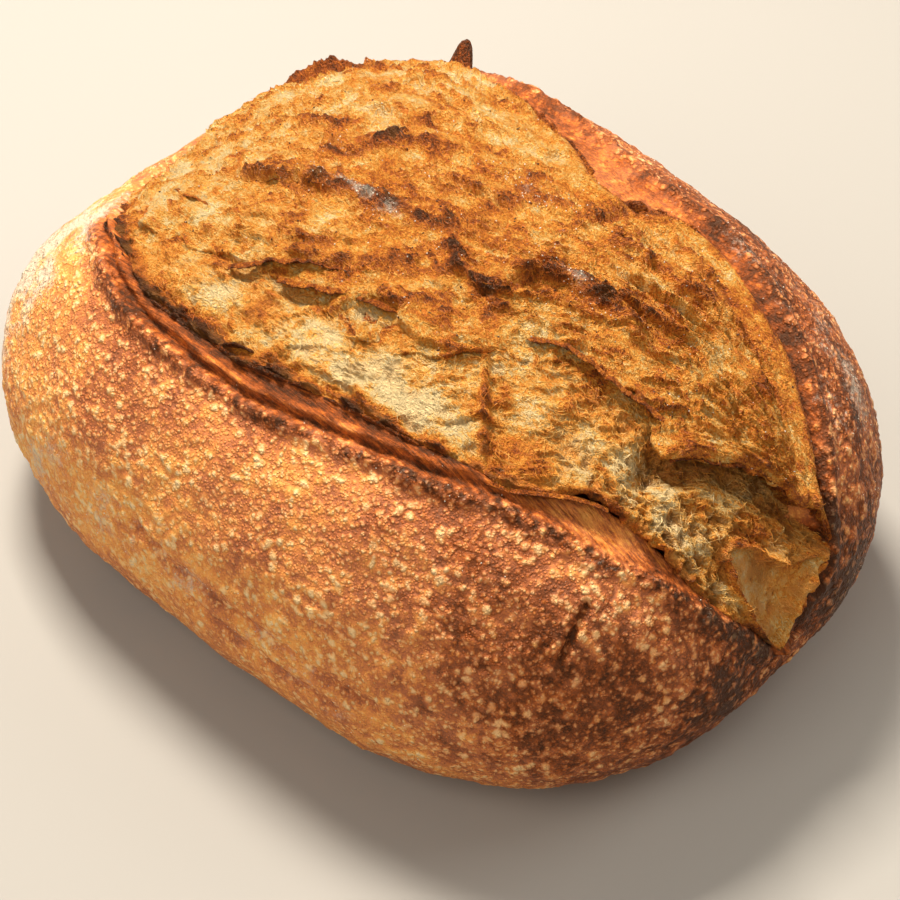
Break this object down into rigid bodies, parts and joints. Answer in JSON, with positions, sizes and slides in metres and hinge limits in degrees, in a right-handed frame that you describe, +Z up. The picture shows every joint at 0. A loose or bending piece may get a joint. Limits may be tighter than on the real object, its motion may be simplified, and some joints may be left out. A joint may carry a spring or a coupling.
{
  "type": "sourdough loaf",
  "caption": "Oval hearth-baked sourdough loaf with a scored shoulder, a raised ear, a torn open bloom and a flat base.",
  "frame": {"origin": "middle of the flat base", "axes": "+X along the loaf's length towards the end tear, -Y towards the scored shoulder, +Z up"},
  "size_m": [0.2438, 0.1982, 0.11],
  "materials": {
    "crust": null
  },
  "bodies": {
    "root": {"loaf": "crust"}
  },
  "joints": []
}
